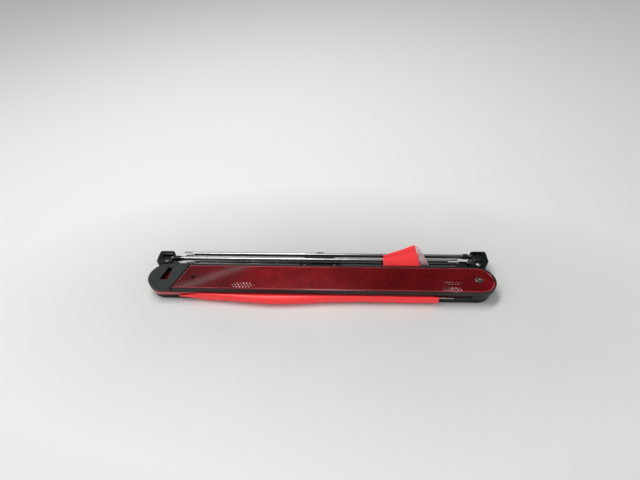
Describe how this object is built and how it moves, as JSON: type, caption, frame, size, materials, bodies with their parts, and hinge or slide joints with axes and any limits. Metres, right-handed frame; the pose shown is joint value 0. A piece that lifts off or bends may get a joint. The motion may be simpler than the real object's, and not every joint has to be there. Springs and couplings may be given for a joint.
{
  "type": "folding warning triangle",
  "caption": "Folding roadside warning triangle, stored flat: two reflector arms hinged on a base bar, fluorescent film strips and fold-out channel legs.",
  "frame": {"origin": "middle of the base bar's flat back face", "axes": "+X along the folded bars towards the top arm's pivot, +Y towards the triangle's bottom edge, +Z out of the reflecting front"},
  "size_m": [0.468, 0.0842, 0.0435],
  "materials": {
    "black_plastic": "satin moulded black plastic",
    "arm_plastic": "satin moulded black plastic",
    "cap_plastic": "matt grey-black moulded plastic",
    "knuckle_plastic": "satin moulded black plastic",
    "socket_plastic": "satin moulded black plastic",
    "top_lens": "glossy dark red prismatic reflector",
    "middle_lens": "glossy dark red prismatic reflector",
    "base_lens": "glossy dark red prismatic reflector",
    "base_film": "fluorescent red-orange film",
    "top_film": "fluorescent red-orange film",
    "middle_film": "fluorescent red-orange film",
    "clear_film": "milky clear film tab",
    "leg_steel": "galvanised folded steel channel",
    "rivet_steel": "plain steel",
    "rivet_brass": "dull brass-plated rivet"
  },
  "bodies": {
    "base": {"base_frame": "black_plastic", "base_lens": "base_lens", "base_film": "base_film", "base_film_tab": "clear_film", "base_film_clamp": "black_plastic", "right_spacer_post": "black_plastic", "right_pivot_rivet": "rivet_brass", "left_pivot_rivet": "rivet_brass", "right_knuckle": "knuckle_plastic", "left_knuckle": "knuckle_plastic", "right_knuckle_rivet": "rivet_steel", "left_knuckle_rivet": "rivet_steel", "centre_clip": "knuckle_plastic", "right_clip_rivet": "rivet_steel", "left_clip_rivet": "rivet_steel", "right_front_leg_pin": "rivet_steel", "right_rear_leg_pin": "rivet_steel", "left_front_leg_pin": "rivet_steel", "left_rear_leg_pin": "rivet_steel"},
    "top_arm": {"top_arm_frame": "arm_plastic", "top_arm_cap": "cap_plastic", "top_arm_lens": "top_lens", "top_arm_film": "top_film", "top_arm_film_tab": "clear_film", "top_arm_film_clamp": "black_plastic", "right_pivot_washer": "rivet_steel"},
    "middle_arm": {"middle_arm_frame": "arm_plastic", "middle_arm_lens": "middle_lens", "middle_arm_film": "middle_film", "left_pivot_washer": "rivet_steel"},
    "latch": {"latch_bolt": "black_plastic"},
    "right_front_leg_body": {"right_front_leg": "leg_steel", "right_front_leg_socket": "socket_plastic"},
    "right_rear_leg_body": {"right_rear_leg": "leg_steel", "right_rear_leg_socket": "socket_plastic"},
    "left_front_leg_body": {"left_front_leg": "leg_steel", "left_front_leg_socket": "socket_plastic"},
    "left_rear_leg_body": {"left_rear_leg": "leg_steel", "left_rear_leg_socket": "socket_plastic"}
  },
  "joints": [
    {"name": "top_arm_swing", "type": "hinge", "parent": "base", "child": "top_arm", "pos_m": [0.2115, 0, 0.0146], "axis": [0, 0, 1], "range_deg": [0, 60], "deforming": ["top_arm_film", "top_arm_film_tab"]},
    {"name": "middle_arm_swing", "type": "hinge", "parent": "base", "child": "middle_arm", "pos_m": [-0.2115, 0, 0.0073], "axis": [0, 0, -1], "range_deg": [0, 60], "deforming": ["base_film", "base_film_tab"]},
    {"name": "latch_slide", "type": "slide", "parent": "middle_arm", "child": "latch", "axis": [0, 0, 1], "range_m": [0, 0.003]},
    {"name": "right_front_leg_swing", "type": "hinge", "parent": "base", "child": "right_front_leg_body", "pos_m": [0.221, 0.0429, 0.0196], "axis": [0, 0.9781, -0.2079], "range_deg": [0, 90]},
    {"name": "right_rear_leg_swing", "type": "hinge", "parent": "base", "child": "right_rear_leg_body", "pos_m": [0.221, 0.0429, 0.004], "axis": [0, -0.9781, -0.2079], "range_deg": [0, 90]},
    {"name": "left_front_leg_swing", "type": "hinge", "parent": "base", "child": "left_front_leg_body", "pos_m": [-0.221, 0.0335, 0.0196], "axis": [0, -0.9781, 0.2079], "range_deg": [0, 90]},
    {"name": "left_rear_leg_swing", "type": "hinge", "parent": "base", "child": "left_rear_leg_body", "pos_m": [-0.221, 0.0335, 0.004], "axis": [0, 0.9781, 0.2079], "range_deg": [0, 90]}
  ]
}
